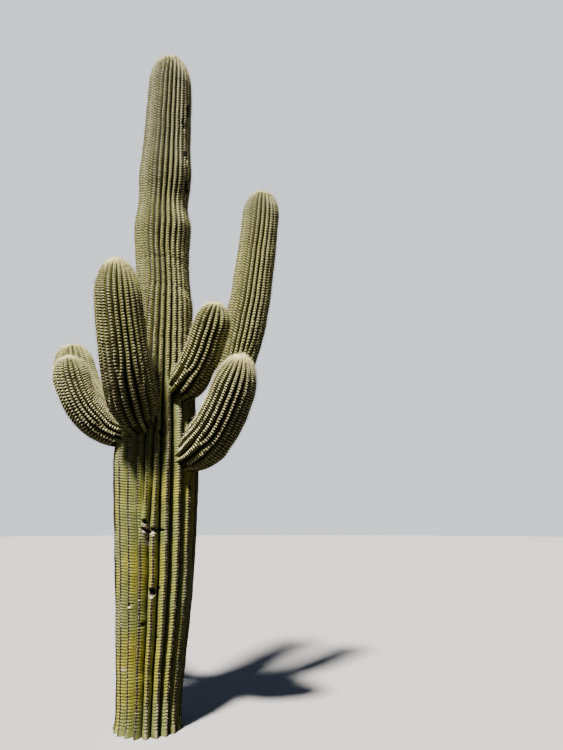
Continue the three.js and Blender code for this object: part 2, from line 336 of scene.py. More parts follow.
class SaguaroSpines(bpy.types.PropertyGroup):
    """Sizes and colours of the spines and of the felt cushions that they grow from."""

    low: size("Spacing below", "Between the column's cushions near the ground", 0.0212)
    high: size("Spacing above", "Between the column's cushions at the top", 0.0300)
    count: bpy.props.IntProperty(
        name="Spines", description="Spines on one cushion", default=10, min=4, max=40
    )
    radial: size("Radial spine", "Length of a spine that lies along the skin", 0.0165)
    central: size("Central spine", "Length of a spine that stands out", 0.025)
    thickness: size("Thickness", "A spine's width at its foot", 0.0020)
    cushion: size("Cushion", "Width of a felt cushion across its rib", 0.023)
    pale: colour("Pale spine", "Young spines", "#f6f0cf")
    grey: colour("Grey spine", "Weathered spines", "#8f8777")
    dark: colour("Dark spine", "Old horn on the wide ribs", "#382d2a")
    fresh_felt: colour("Fresh felt", "Felt of young cushions", "#ebe6b6")
    grey_felt: colour("Grey felt", "Felt of weathered cushions", "#8c8563")
    old_felt: colour("Old felt", "Felt of old cushions", "#332829")


class SaguaroStage(bpy.types.PropertyGroup):
    """Sizes and colours of the floor, the light and the camera."""

    floor: colour("Floor", "What the camera sees of the floor", "#9b9b9b")
    key: bpy.props.FloatProperty(name="Key", description="Strength of the key light", default=12.2, min=0)
    backdrop: colour("Backdrop", "What the camera sees behind the plant", "#e4e8ee")
    fill: colour("Fill", "Light from all round", "#5a6272")
    bounce: colour("Bounce", "Light that the floor sends back up", "#403e39")
    softness: degrees("Softness", "How wide the key light is", 6)
    key_bearing: degrees("Key bearing", "Where the key light stands", -113)
    key_height: degrees("Key height", "How high it stands", 60)
    camera_place: bpy.props.FloatVectorProperty(
        name="Camera",
        description="Where the camera stands",
        subtype="TRANSLATION",
        default=(1.001, -4.744, 1.5),
    )
    camera_tilt: degrees("Tilt", "How far the camera looks up", 14.54)
    lens: bpy.props.FloatProperty(
        name="Lens", description="Focal length for a picture 36 mm tall", default=27.02, unit="CAMERA"
    )


def add_node(tree, kind, *inputs, **settings):
    """Adds a node with its settings. Its inputs come in order, or as one dict with their names or numbers.
    Each is filled by a node's first output, a socket or a value."""
    node = tree.nodes.new(kind)
    for name, value in settings.items():
        setattr(node, name, value)
    is_named = inputs and isinstance(inputs[0], dict)
    links = inputs[0] if is_named else dict(enumerate(inputs))
    for key, value in links.items():
        if isinstance(value, bpy.types.Node):
            value = next(socket for socket in value.outputs if socket.enabled)
        if isinstance(value, bpy.types.NodeSocket):
            tree.links.new(value, node.inputs[key])
        else:
            node.inputs[key].default_value = value
    return node


def new_tree(name, inputs, outputs):
    """Starts a node tree with named inputs and outputs, and returns it with its inputs' sockets."""
    tree = bpy.data.node_groups.new(name, "GeometryNodeTree")
    for label, kind in inputs.items():
        tree.interface.new_socket(label, in_out="INPUT", socket_type=f"NodeSocket{kind}")
    for label, kind in outputs.items():
        tree.interface.new_socket(label, in_out="OUTPUT", socket_type=f"NodeSocket{kind}")
    return tree, add_node(tree, "NodeGroupInput").outputs


def use_tree(tree, inner, ends, shared, links=None):
    """Adds a finished tree as one node of another. The shared inputs come from the outer tree's own."""
    inputs = {label: ends[label] for label in shared}
    return add_node(tree, "GeometryNodeGroup", {**inputs, **(links or {})}, node_tree=inner)


def kind_of(name):
    """What an attribute holds: a vector or a number."""
    return VECTOR if name in VECTOR_ATTRIBUTES else "FLOAT"


def read_attributes(tree, *names):
    """Adds a reader for each named attribute, and returns their sockets by name."""
    readers = {}
    for name in names:
        node = add_node(tree, "GeometryNodeInputNamedAttribute", {"Name": name}, data_type=kind_of(name))
        readers[name] = node.outputs["Attribute"]
    return readers


def keep_attributes(tree, geometry, fields):
    """Stores each named field on the geometry's points, and returns the last node."""
    for name, field in fields.items():
        geometry = add_node(
            tree,
            "GeometryNodeStoreNamedAttribute",
            {"Geometry": geometry, "Name": name, "Value": field},
            data_type=kind_of(name),
            domain="POINT",
        )
    return geometry


def nearest_mark(tree, marks, position):
    """Works out how many of its own sizes away from a position the nearest mark lies."""
    points = add_node(tree, "GeometryNodeObjectInfo", {"Object": marks}).outputs["Geometry"]
    nearest = add_node(tree, "GeometryNodeSampleNearest", {"Geometry": points, "Sample Position": position})
    found = {}
    for name, field in read_attributes(tree, *MARK_ATTRIBUTES).items():
        found[name] = add_node(
            tree,
            "GeometryNodeSampleIndex",
            {"Geometry": points, "Value": field, "Index": nearest},
            data_type=kind_of(name),
        )
    gap = add_node(tree, VECTOR_MATH, position, found["place"], operation="DISTANCE")
    distance = gap.outputs["Value"]
    return add_node(tree, MATH, distance, found["size"], operation="DIVIDE")


def rib_pattern_tree():
    """Builds the rule of the ribs: where a line round a limb lies, and how high it stands over the bottom
    between two ribs.
    """
    tree, ends = new_tree(
        "Rib pattern",
        {"Around": "Float", "Along": "Float", **PATTERN_INPUTS},
        {"Angle": "Float", "Relief": "Float", "Count": "Float", "Open": "Float", "Stagger": "Float"},
    )
    turn = add_node(tree, MATH, ends["Around"], ends["Groups"], operation="MULTIPLY")
    group = add_node(tree, MATH, turn, operation="FLOOR")
    share = add_node(tree, MATH, turn, operation="FRACT")
    rib = add_node(tree, MATH, share, RIBS_PER_GROUP, operation="MULTIPLY")

    # The place where this group forks, and how far it has opened.
    wander = add_node(tree, MATH, group, FORK_SPREAD, FORK_OFFSET, operation="MULTIPLY_ADD")
    spread = add_node(tree, MATH, wander, operation="FRACT")
    start = add_node(tree, MAP_RANGE, {0: spread, 3: ends["Fork low"], 4: ends["Fork high"]})
    end = add_node(tree, MATH, start, ends["Fork length"], operation="ADD")
    opened = add_node(tree, MAP_RANGE, ends["Along"], start, end, interpolation_type="SMOOTHSTEP")

    # The angle, between its place where two ribs are one and its place where they are apart.
    past_pair = add_node(tree, MATH, rib, 2.0, operation="SUBTRACT")
    extra = add_node(tree, MATH, past_pair, 0.0, operation="MAXIMUM")
    stretched = add_node(tree, MATH, rib, extra, operation="ADD")
    closed_place = add_node(tree, MATH, stretched, 4.0, operation="DIVIDE")
    place = add_node(tree, MAP_RANGE, {0: opened, 3: closed_place, 4: share})
    reach = add_node(tree, MATH, group, place, operation="ADD")
    part = add_node(tree, MATH, reach, ends["Groups"], operation="DIVIDE")
    angle = add_node(tree, MATH, part, math.tau, operation="MULTIPLY")

    # The relief, from 0 in a groove to 1 on a crest, in both states.
    in_pair = add_node(tree, MATH, rib, 1.0, operation="SUBTRACT")
    alone = add_node(tree, MATH, rib, 2.0, -5.0, operation="MULTIPLY_ADD")
    is_alone = add_node(tree, MATH, rib, 2.0, operation="GREATER_THAN")
    closed_across = add_node(tree, MAP_RANGE, {0: is_alone, 3: in_pair, 4: alone})
    single = add_node(tree, MATH, rib, operation="FRACT")
    open_across = add_node(tree, MATH, single, 2.0, -1.0, operation="MULTIPLY_ADD")
    reliefs = []
    for across in (closed_across, open_across):
        distance = add_node(tree, MATH, across, operation="ABSOLUTE")
        fall = add_node(tree, MATH, distance, ends["Roundness"], operation="POWER")
        reliefs.append(add_node(tree, MATH, 1.0, fall, operation="SUBTRACT"))
    relief = add_node(tree, MAP_RANGE, {0: opened, 3: reliefs[0], 4: reliefs[1]})
    per_group = add_node(tree, MAP_RANGE, {0: opened, 3: 2.0, 4: float(RIBS_PER_GROUP)})
    count = add_node(tree, MATH, per_group, ends["Groups"], operation="MULTIPLY")

    # Rows on neighbouring ribs don't run level, and twin ribs slip by half a row as they part.
    pair = add_node(tree, MATH, group, 2.0, is_alone, operation="MULTIPLY_ADD")
    slip = add_node(tree, MATH, pair, FORK_SPREAD, operation="MULTIPLY")
    is_first = add_node(tree, MATH, rib, 1.0, operation="LESS_THAN")
    twin = add_node(tree, MATH, is_first, opened, operation="MULTIPLY")
    moved = add_node(tree, MATH, slip, operation="FRACT")
    stagger = add_node(tree, MATH, twin, 0.5, moved, operation="MULTIPLY_ADD")
    results = {"Angle": angle, "Relief": relief, "Count": count, "Open": opened, "Stagger": stagger}
    add_node(tree, "NodeGroupOutput", results)
    return tree


def turned_axis(tree, first, second, angle):
    """Adds the direction at an angle from one direction towards another that is square to it."""
    parts = []
    for axis, share in ((first, "COSINE"), (second, "SINE")):
        amount = add_node(tree, MATH, angle, operation=share)
        parts.append(add_node(tree, VECTOR_MATH, {0: axis, "Scale": amount}, operation="SCALE"))
    return add_node(tree, VECTOR_MATH, *parts, operation="ADD")


def surface_tree(pattern):
    """Builds the rule of the skin: the point, the outward direction and the relief of a line on a limb."""
    tree, ends = new_tree(
        "Limb surface",
        {"Around": "Float", **SURFACE_INPUTS},
        {
            "Position": "Vector",
            "Normal": "Vector",
            "Tangent": "Vector",
            "Relief": "Float",
            "Open": "Float",
            "Stagger": "Float",
        },
    )
    limb = read_attributes(tree, "centre", "side", "out", "crest", "along", "slope")
    rule = use_tree(tree, pattern, ends, ("Around", *PATTERN_INPUTS), {"Along": limb["along"]}).outputs

    # Each rib sways to its sides.
    wave = {"Vector": limb["centre"], "Scale": SWAY_SCALE, "Detail": 2.0}
    noise = add_node(tree, NOISE, wave, normalize=False)
    lean = add_node(tree, MATH, noise, ends["Sway"], operation="MULTIPLY")
    girth = add_node(tree, MATH, limb["crest"], SWAY_GIRTH, operation="MAXIMUM")
    twist = add_node(tree, MATH, lean, girth, operation="DIVIDE")
    angle = add_node(tree, MATH, rule["Angle"], twist, operation="ADD")
    radial = turned_axis(tree, limb["side"], limb["out"], angle)

    # The radius: the crest with its unevenness, less the groove's depth where the line isn't on the crest.
    stretch = (SWELL_REACH, SWELL_REACH, SWELL_REACH)
    spot = add_node(tree, VECTOR_MATH, radial, stretch, limb["centre"], operation="MULTIPLY_ADD")
    wave = {"Vector": spot, "Scale": SWELL_SCALE, "Detail": 2.0}
    lumps = add_node(tree, NOISE, wave, normalize=False)
    most = add_node(tree, MAP_RANGE, {0: limb["crest"], 1: 0.0, 2: SWELL_GIRTH, 4: ends["Swell"]})
    width = add_node(tree, MATH, limb["crest"], rule["Count"], operation="DIVIDE")
    reach = add_node(tree, MATH, width, ends["Pleat"], operation="MULTIPLY")
    depth = add_node(tree, MATH, reach, math.tau, operation="MULTIPLY")
    sunk = add_node(tree, MATH, 1.0, rule["Relief"], operation="SUBTRACT")
    drop = add_node(tree, MATH, depth, sunk, operation="MULTIPLY")
    even = add_node(tree, MATH, limb["crest"], drop, operation="SUBTRACT")
    radius = add_node(tree, MATH, lumps, most, even, operation="MULTIPLY_ADD")
    position = add_node(tree, VECTOR_MATH, radial, radius, limb["centre"], operation="MULTIPLY_ADD")

    # The outward direction leans towards the tip where the limb narrows.
    tangent = add_node(tree, VECTOR_MATH, limb["side"], limb["out"], operation="CROSS_PRODUCT")
    normal = turned_axis(tree, radial, tangent, limb["slope"])
    passed_on = {label: rule[label] for label in ("Relief", "Open", "Stagger")}
    results = {"Position": position, "Normal": normal, "Tangent": tangent, **passed_on}
    add_node(tree, "NodeGroupOutput", results)
    return tree


def coat(tree, geometry, material):
    """Ends a tree: its instances become real meshes and take their material."""
    real = add_node(tree, "GeometryNodeRealizeInstances", {"Geometry": geometry})
    coated = add_node(tree, "GeometryNodeSetMaterial", {"Geometry": real, "Material": material})
    add_node(tree, "NodeGroupOutput", coated)
    return tree


def tube(tree, axis, lines, name, field, is_capped):
    """Adds a tube of lines along an axis. Each line keeps a field of the circle's points under a name."""
    rail = add_node(tree, "GeometryNodeMeshToCurve", {"Mesh": axis})
    circle = add_node(tree, "GeometryNodeCurvePrimitiveCircle", {"Resolution": lines, "Radius": PROFILE})
    marked = keep_attributes(tree, circle, {name: field})
    ends = {"Curve": rail, "Profile Curve": marked, "Fill Caps": is_capped}
    return add_node(tree, "GeometryNodeCurveToMesh", ends)


def skin_tree(surface):
    """Builds the tree that turns a limb's axis into its ribbed skin."""
    tree, ends = new_tree(
        "Ribbed skin",
        {"Axis": "Geometry", "Lines": "Int", **SURFACE_INPUTS, "Material": "Material"},
        {"Skin": "Geometry"},
    )
    turn = add_node(tree, "GeometryNodeSplineParameter")
    bare = tube(tree, ends["Axis"], ends["Lines"], "around", turn, True)
    read = read_attributes(tree, "around", "number")
    rule = use_tree(tree, surface, ends, SURFACE_INPUTS, {"Around": read["around"]}).outputs
    row = add_node(tree, MATH, read["number"], rule["Stagger"], operation="SUBTRACT")
    shown = keep_attributes(tree, bare, {"relief": rule["Relief"], "row": row})
    moved = add_node(tree, "GeometryNodeSetPosition", {"Geometry": shown, "Position": rule["Position"]})
    merged = add_node(tree, "GeometryNodeMergeByDistance", {"Geometry": moved, "Distance": SEAM})
    smooth = add_node(tree, "GeometryNodeSetShadeSmooth", {"Geometry": merged})
    return coat(tree, smooth, ends["Material"])


def areole_tree(surface):
    """Builds the tree that sets a point wherever spines grow, with its outward and upward directions."""
    tree, ends = new_tree("Areoles", AREOLE_INPUTS, {"Points": "Geometry"})
    lines = add_node(tree, MATH, ends["Groups"], RIBS_PER_GROUP, operation="MULTIPLY")
    index = add_node(tree, "GeometryNodeInputIndex")
    ribs = tube(tree, ends["Axis"], lines, "line", index, False)
    read = read_attributes(tree, "line", "spacing", "slope")
    part = add_node(tree, MATH, read["line"], RIBS_PER_GROUP, operation="DIVIDE")
    group = add_node(tree, MATH, part, operation="FLOOR")
    rib = add_node(tree, MATH, read["line"], RIBS_PER_GROUP, operation="MODULO")

    # Two ribs' rows run as one below their fork.
    middle = add_node(tree, MATH, group, 0.5, operation="ADD")
    guess = add_node(tree, MATH, middle, ends["Groups"], operation="DIVIDE")
    probe = use_tree(tree, surface, ends, SURFACE_INPUTS, {"Around": guess}).outputs
    parted = add_node(tree, MAP_RANGE, probe["Open"], PARTING[0], PARTING[1])
    own = add_node(tree, MATH, rib, 0.5, operation="ADD")
    is_third = add_node(tree, MATH, rib, 1.5, operation="GREATER_THAN")
    shared = add_node(tree, MAP_RANGE, {0: is_third, 3: 1.0, 4: 2.5})
    place = add_node(tree, MAP_RANGE, {0: parted, 3: shared, 4: own})
    share = add_node(tree, MATH, place, RIBS_PER_GROUP, operation="DIVIDE")
    reach = add_node(tree, MATH, group, share, operation="ADD")
    around = add_node(tree, MATH, reach, ends["Groups"], operation="DIVIDE")
    rule = use_tree(tree, surface, ends, SURFACE_INPUTS, {"Around": around}).outputs

    # No row is quite regular.
    seed = add_node(tree, MATH, ends["Seed"], DRAW_SEEDS["jitter"], operation="ADD")
    jitter = add_node(tree, "FunctionNodeRandomValue", {2: -ROW_JITTER, 3: ROW_JITTER, "Seed": seed})
    shift = add_node(tree, MATH, rule["Stagger"], jitter, operation="ADD")
    slide = add_node(tree, MATH, shift, read["spacing"], operation="MULTIPLY")
    steep = add_node(tree, MATH, read["slope"], operation="COSINE")
    climb = add_node(tree, MATH, slide, steep, operation="MULTIPLY")
    spot = add_node(tree, VECTOR_MATH, rule["Tangent"], climb, rule["Position"], operation="MULTIPLY_ADD")

    # No spines grow in a wound or in the neck of an arm, and a shared row isn't doubled.
    away = nearest_mark(tree, ends["Bare"], rule["Position"])
    blocked = add_node(tree, MATH, away, 1.0, operation="LESS_THAN")
    is_first = add_node(tree, MATH, rib, 0.5, operation="LESS_THAN")
    is_shut = add_node(tree, MATH, probe["Open"], SHUT, operation="LESS_THAN")
    twin = add_node(tree, MATH, is_first, is_shut, operation="MULTIPLY")
    dropped = add_node(tree, MATH, blocked, twin, operation="MAXIMUM")
    known = {"dropped": dropped, "normal": rule["Normal"], "rise": rule["Tangent"]}
    shown = keep_attributes(tree, ribs, known)
    moved = add_node(tree, "GeometryNodeSetPosition", {"Geometry": shown, "Position": spot})
    drop = read_attributes(tree, "dropped")["dropped"]
    is_out = add_node(tree, MATH, drop, 0.5, operation="GREATER_THAN")
    kept = add_node(tree, "GeometryNodeDeleteGeometry", moved, is_out, domain="POINT")
    points = add_node(tree, "GeometryNodeMeshToPoints", {"Mesh": kept, "Radius": 0.001})
    add_node(tree, "NodeGroupOutput", {"Points": points})
    return tree


def keep_tone(tree, geometry, ends, seed_step, pale, dark):
    """Deals every point a tone by its place's shares of pale and dark, and keeps the points of one tone."""
    seed = add_node(tree, MATH, ends["Seed"], seed_step, operation="ADD")
    draw = add_node(tree, "FunctionNodeRandomValue", {2: 0.0, 3: 1.0, "Seed": seed})
    dealt = keep_attributes(tree, geometry, {"tone": draw})
    read = read_attributes(tree, "tone", pale, dark)
    over_pale = add_node(tree, MATH, read["tone"], read[pale], operation="GREATER_THAN")
    edge = add_node(tree, MATH, 1.0, read[dark], operation="SUBTRACT")
    over_edge = add_node(tree, MATH, read["tone"], edge, operation="GREATER_THAN")
    tone = add_node(tree, MATH, over_pale, over_edge, operation="ADD")
    gap = add_node(tree, MATH, tone, ends["Tone"], operation="SUBTRACT")
    size_of_gap = add_node(tree, MATH, gap, operation="ABSOLUTE")
    other = add_node(tree, MATH, size_of_gap, 0.5, operation="GREATER_THAN")
    return add_node(tree, "GeometryNodeDeleteGeometry", dealt, other, domain="POINT")


def cushion_tree(areoles):
    """Builds the tree that sets a small felt cushion at the foot of every cluster of spines."""
    tree, ends = new_tree(
        "Felt cushions",
        {**AREOLE_INPUTS, "Tone": "Int", "Width": "Float", "Material": "Material"},
        {"Cushions": "Geometry"},
    )
    points = use_tree(tree, areoles, ends, AREOLE_INPUTS)
    toned = keep_tone(tree, points, ends, DRAW_SEEDS["felt tone"], "pale_felt", "dark_felt")
    half = add_node(tree, MATH, ends["Width"], 0.5, operation="MULTIPLY")
    cone = add_node(
        tree,
        "GeometryNodeMeshCone",
        {"Vertices": 5, "Radius Top": 0.0, "Radius Bottom": half, "Depth": half},
        fill_type="NGON",
    )
    pad = add_node(
        tree,
        "GeometryNodeTransform",
        {"Geometry": cone, "Translation": (0, 0, -CUSHION_SINK), "Scale": CUSHION_SHAPE},
    )
    read = read_attributes(tree, "normal", "rise", "vigour")
    upright = add_node(tree, "FunctionNodeAlignRotationToVector", {"Vector": read["normal"]}, axis="Z")
    turned = add_node(
        tree,
        "FunctionNodeAlignRotationToVector",
        {"Rotation": upright, "Vector": read["rise"]},
        axis="Y",
        pivot_axis="Z",
    )
    pads = add_node(
        tree,
        "GeometryNodeInstanceOnPoints",
        {"Points": toned, "Instance": pad, "Rotation": turned, "Scale": read["vigour"]},
    )
    return coat(tree, pads, ends["Material"])


def spine_tree(areoles):
    """Builds the tree that grows spines of one tone from every areole."""
    tree, ends = new_tree(
        "Spines",
        {
            **AREOLE_INPUTS,
            "Tone": "Int",
            "Count": "Int",
            "Radial": "Float",
            "Central": "Float",
            "Thickness": "Float",
            "Material": "Material",
        },
        {"Spines": "Geometry"},
    )
    points = use_tree(tree, areoles, ends, AREOLE_INPUTS)
    copies = add_node(
        tree, "GeometryNodeDuplicateElements", {"Geometry": points, "Amount": ends["Count"]}, domain="POINT"
    )
    order = copies.outputs["Duplicate Index"]
    drawn = {}
    for number, (name, low, high) in enumerate(SPINE_DRAWS):
        step = DRAW_SEEDS["spines"] + number
        seed = add_node(tree, MATH, ends["Seed"], step, operation="ADD")
        drawn[name] = add_node(tree, "FunctionNodeRandomValue", {2: low, 3: high, "Seed": seed})

    # Central spines stand out all round. Radial ones fan out to the rib's two sides by turns.
    is_central = add_node(tree, MATH, order, CENTRALS - 0.5, operation="LESS_THAN")
    ring = add_node(tree, MATH, order, math.tau / CENTRALS, operation="MULTIPLY")
    odd = add_node(tree, MATH, order, 2.0, operation="MODULO")
    beside = add_node(tree, MATH, odd, math.pi, -math.pi / 2, operation="MULTIPLY_ADD")
    plain_turn = add_node(tree, MAP_RANGE, {0: is_central, 3: beside, 4: ring}, clamp=False)
    turn = add_node(tree, MATH, plain_turn, drawn["turn"], operation="ADD")
    plain_tilt = add_node(tree, MAP_RANGE, {0: is_central, 3: RADIAL_TILT, 4: CENTRAL_TILT})
    tilt = add_node(tree, MATH, plain_tilt, drawn["tilt"], operation="ADD")
    length = add_node(tree, MAP_RANGE, {0: is_central, 3: ends["Radial"], 4: ends["Central"]})

    # The direction, from the outward one, the one along the rib and the one across it.
    read = read_attributes(tree, "normal", "rise", "vigour")
    normal = read["normal"]
    across = add_node(tree, VECTOR_MATH, normal, read["rise"], operation="CROSS_PRODUCT")
    level = add_node(tree, VECTOR_MATH, across, operation="NORMALIZE")
    upward = add_node(tree, VECTOR_MATH, level, normal, operation="CROSS_PRODUCT")
    lean = add_node(tree, MATH, tilt, operation="SINE")
    stand = add_node(tree, MATH, tilt, operation="COSINE")
    aim = add_node(tree, VECTOR_MATH, {0: normal, "Scale": stand}, operation="SCALE")
    for axis, share in ((upward, "COSINE"), (level, "SINE")):
        spread = add_node(tree, MATH, turn, operation=share)
        both = add_node(tree, MATH, spread, lean, operation="MULTIPLY")
        aim = add_node(tree, VECTOR_MATH, axis, both, aim, operation="MULTIPLY_ADD")

    # A place of little vigour has fewer and shorter spines.
    grown = add_node(tree, MATH, length, drawn["stretch"], operation="MULTIPLY")
    full = add_node(tree, MATH, grown, read["vigour"], operation="MULTIPLY")
    reach = add_node(tree, VECTOR_MATH, {0: aim, "Scale": full}, operation="SCALE")
    bare = add_node(tree, MATH, drawn["thin"], read["vigour"], operation="GREATER_THAN")
    shown = keep_attributes(tree, copies, {"reach": reach, "bare": bare})
    toned = keep_tone(tree, shown, ends, DRAW_SEEDS["spine tone"], "pale", "dark")
    own = read_attributes(tree, "reach", "bare")
    is_bare = add_node(tree, MATH, own["bare"], 0.5, operation="GREATER_THAN")
    kept = add_node(tree, "GeometryNodeDeleteGeometry", toned, is_bare, domain="POINT")
    half = add_node(tree, MATH, ends["Thickness"], 0.5, operation="MULTIPLY")
    spine = add_node(
        tree,
        "GeometryNodeMeshCone",
        {"Vertices": 3, "Radius Top": 0.0, "Radius Bottom": half, "Depth": 1.0},
        fill_type="NGON",
    )
    turned = add_node(tree, "FunctionNodeAlignRotationToVector", {"Vector": own["reach"]}, axis="Z")
    span = add_node(tree, VECTOR_MATH, own["reach"], operation="LENGTH")
    scale = add_node(tree, "ShaderNodeCombineXYZ", 1.0, 1.0, span.outputs["Value"])
    spines = add_node(
        tree,
        "GeometryNodeInstanceOnPoints",
        {"Points": kept, "Instance": spine, "Rotation": turned, "Scale": scale},
    )
    return coat(tree, spines, ends["Material"])


def station_value(height, column):
    """The column's radius (1) or drift (2) at heights, by a smooth curve through the stations."""
    rows = np.array(COLUMN_STATIONS)
    knots = rows[:, 0]
    values = rows[:, column]
    slopes = np.concatenate(
        (
            [(values[1] - values[0]) / (knots[1] - knots[0])],
            (values[2:] - values[:-2]) / (knots[2:] - knots[:-2]),
            [(values[-1] - values[-2]) / (knots[-1] - knots[-2])],
        )
    )
    after = np.clip(np.searchsorted(knots, height), 1, len(knots) - 1)
    before = after - 1
    span = knots[after] - knots[before]
    share = (height - knots[before]) / span
    return (
        (2 * share**3 - 3 * share**2 + 1) * values[before]
        + (share**3 - 2 * share**2 + share) * slopes[before] * span
        + (3 * share**2 - 2 * share**3) * values[after]
        + (share**3 - share**2) * slopes[after] * span
    )


def smooth_step(value, low, high):
    """Goes smoothly from 0 at or below low to 1 at or above high."""
    share = np.clip((value - low) / (high - low), 0, 1)
    return share * share * (3 - 2 * share)


def store(mesh, name, values):
    """Stores an attribute on a mesh's points."""
    kind = kind_of(name)
    flat = np.ascontiguousarray(values, dtype=np.float32).ravel()
    layer = mesh.attributes.new(name, kind, "POINT")
    layer.data.foreach_set("vector" if kind == VECTOR else "value", flat)


def points_of(mesh):
    """The places of a mesh's points, a row each."""
    points = np.empty(len(mesh.vertices) * 3, dtype=np.float32)
    mesh.vertices.foreach_get("co", points)
    return points.reshape(-1, 3)


class Limb:
    """A column or an arm: its middle line, its radius, and the age of its skin and spines along it."""

    def __init__(self, name, nodes, slot, line, dome, groups, sizes, **rules):
        self.name = name
        self.nodes = nodes
        self.slot = slot
        self.line = line
        self.dome = dome
        self.groups = groups
        self.sizes = sizes
        self.rules = rules
        steps = np.linalg.norm(np.diff(line, axis=0), axis=1)
        self.stops = np.concatenate(([0.0], np.cumsum(steps)))
        self.length = self.stops[-1]
        self.tip = self.length - sizes.headroom
        self.start = FIRST_ROW if name == "column" else self.emergence()
        self.rows = self.spine_rows()

    def emergence(self):
        """The place along an arm where its middle line comes out of the column."""
        reach = np.hypot(self.line[:, 0] - station_value(self.line[:, 2], 2), self.line[:, 1])
        return self.stops[np.argmax(reach > station_value(self.line[:, 2], 1))]

    def at(self, places, values):
        """Values that are kept along the middle line, read at places."""
        return np.stack([np.interp(places, self.stops, values[:, i]) for i in range(3)], axis=1)

    def crest(self, places):
        """The skin's radius over its crests, closing over a rounded dome that ends under the tip."""
        share = np.clip((self.tip - places) / self.dome, 0, 1)
        return (self.rules["radius"](places) - self.sizes.inset) * np.sqrt(1 - (1 - share) ** 2)

    def axis_mesh(self, places):
        """Makes the limb's axis as a line of points at places along it, with all that the node trees read."""
        tangent = self.at(places, np.gradient(self.line, self.stops, axis=0))
        if self.name == "column":
            tangent = tangent * (0, 0, 1)  # its rings stay level, and its cut is flat
        tangent /= np.linalg.norm(tangent, axis=1)[:, None]
        across = np.cross(self.line[1] - self.line[0], (0, 0, 1))
        if np.linalg.norm(across) < 1e-3:
            across = np.array((1.0, 0, 0))
        side = across - (tangent @ across)[:, None] * tangent
        side /= np.linalg.norm(side, axis=1)[:, None]
        near = np.clip(places[:, None] + (-SLOPE_REACH, SLOPE_REACH), 0, self.tip)
        crests = self.crest(near)
        centre = self.at(places, self.line)
        values = {
            "centre": centre,
            "side": side,
            "out": np.cross(tangent, side),
            "crest": self.crest(places),
            "along": places,
            "number": np.interp(places, self.rows, np.arange(len(self.rows))),
            "slope": np.arctan2(crests[:, 0] - crests[:, 1], np.maximum(near[:, 1] - near[:, 0], 1e-4)),
            "spacing": np.gradient(places),
            **{name: self.rules[name](places) for name in LIMB_RULES},
        }
        mesh = bpy.data.meshes.new(self.name)
        mesh.from_pydata(centre.tolist(), [(i, i + 1) for i in range(len(places) - 1)], [])
        for label, rows in values.items():
            store(mesh, label, rows)
        return mesh

    def rings(self):
        """Places for the skin's rings: close where the wounds are, and closing up over the dome."""
        place = max(0.0, self.start - BURIED_NECK)
        places = []
        while place < self.tip - self.dome:
            places.append(place)
            place += self.sizes.ring * self.rules["step"](place)
        turns = np.linspace(0, math.pi / 2, round(DOME_RINGS * self.dome / self.sizes.ring) + 1)
        return np.concatenate((places, self.tip - self.dome * (1 - np.sin(turns))))

    def spine_rows(self):
        """Places for rows of spines, closer together over the dome."""
        place = self.start
        places = []
        while place < self.tip - LAST_ROW:
            places.append(place)
            share = min((self.tip - place) / self.dome, 1)
            steep = math.sqrt(1 - (1 - share) ** 2)
            place += self.rules["spacing"](place) * (1 - DOME_ROWS + DOME_ROWS * share) * steep
        return np.array(places)


def pinches(heights):
    """How strongly each height of the column shows one of the drought years, as the share of painted shade in
    its grooves, and how deep it is pinched.
    """
    shares = np.zeros_like(heights)
    depths = np.zeros_like(heights)
    for height, depth, width in DRY_YEARS:
        share = np.exp(-(((heights - height) / width) ** 2))
        shares = shares + share
        depths = depths + depth * share
    return shares, depths


def make_column(spines, skin):
    """Works out the column as a limb."""
    heights = np.linspace(0, COLUMN_HEIGHT, COLUMN_POINTS)
    line = np.stack([station_value(heights, 2), np.zeros_like(heights), heights], axis=1)

    def radius(places):
        return station_value(np.clip(places, 0, COLUMN_HEIGHT), 1) - pinches(places)[1]

    def spacing(height):
        # The rows are drawn wider than life at the top, where they would be too fine to show.
        return np.interp(height, WIDER_ROWS, (spines.low, spines.high))

    return Limb(
        "column",
        ["column"],
        "column_skin",
        line,
        COLUMN_DOME,
        COLUMN_GROUPS,
        skin,
        skin="pale",
        forks=COLUMN_FORKS,
        roundness=1.55,
        radius=radius,
        step=lambda z: WOUND_STEP if WOUND_RINGS[0] < z < WOUND_RINGS[1] else COLUMN_STEP,
        spacing=spacing,
        age=lambda z: 1 - smooth_step(z, 1.7, 3.3),
        # The share of painted shade that darkens the grooves in the pinches of the drought years.
        dry=lambda z: pinches(z)[0],
        pale=lambda z: 0.04 + 0.30 * smooth_step(z, 1.6, 3.4) + 0.6 * smooth_step(z, 5.7, 5.95),
        dark=lambda z: 0.7 - 0.45 * smooth_step(z, 1.4, 3.2) - 0.25 * smooth_step(z, 5.5, 5.8),
        pale_felt=lambda z: 0.03 + 0.84 * smooth_step(z, 1.9, 3.2),
        dark_felt=lambda z: 0.75 * (1 - smooth_step(z, 1.6, 2.8)),
        vigour=lambda z: 0.55 + 0.45 * smooth_step(z, 1.4, 3.0) + 0.4 * smooth_step(z, 5.85, 6.02),
    )


